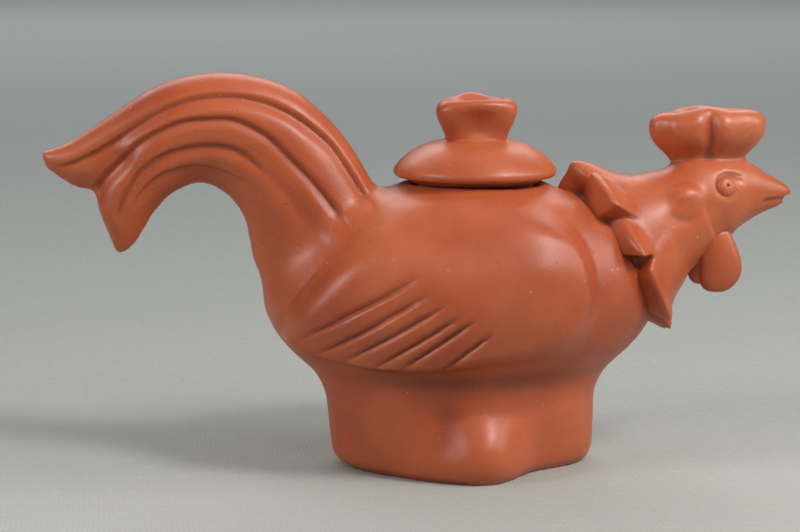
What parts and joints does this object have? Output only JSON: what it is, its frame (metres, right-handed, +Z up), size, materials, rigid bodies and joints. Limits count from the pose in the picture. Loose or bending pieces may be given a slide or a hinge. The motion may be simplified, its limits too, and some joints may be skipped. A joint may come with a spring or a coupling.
{
  "type": "teapot",
  "caption": "Unglazed clay teapot in the form of a standing chicken: swept tail as handle, hollow neck and beak as spout, comb, wattles, feather collar, wings, and a lift-off domed lid.",
  "frame": {"origin": "centre of the foot's flat base", "axes": "+X towards the beak, +Y to the bird's left, +Z up"},
  "size_m": [0.1743, 0.0674, 0.0909],
  "materials": {
    "clay": "burnished unglazed red-brown clay",
    "shaded_clay": "unglazed red-brown clay, a little darker and less rubbed",
    "polished_clay": "well burnished unglazed red-brown clay with a soft sheen"
  },
  "bodies": {
    "pot": {"foot": "shaded_clay", "body_shell": "clay", "mouth_rim": "clay", "tail_handle": "shaded_clay", "neck": "clay", "head": "polished_clay", "comb": "clay", "wattle_right": "polished_clay", "wattle_left": "polished_clay", "ear_lobe_right": "clay", "ear_lobe_left": "clay", "eye_right": "polished_clay", "eye_left": "polished_clay", "wing_right": "polished_clay", "wing_left": "polished_clay", "collar_feather_1": "clay", "collar_feather_2": "clay", "collar_feather_3": "clay", "collar_feather_4": "clay", "collar_feather_5": "clay", "collar_feather_6": "clay", "collar_feather_7": "clay", "collar_feather_8": "clay", "collar_feather_9": "clay", "collar_feather_10": "clay"},
    "lid": {"lid_cover": "polished_clay", "lid_flange": "clay", "lid_knob": "clay"}
  },
  "joints": [
    {"name": "lid_lift", "type": "slide", "parent": "pot", "child": "lid", "axis": [0, 0, 1], "range_m": [0, 0.06]}
  ]
}
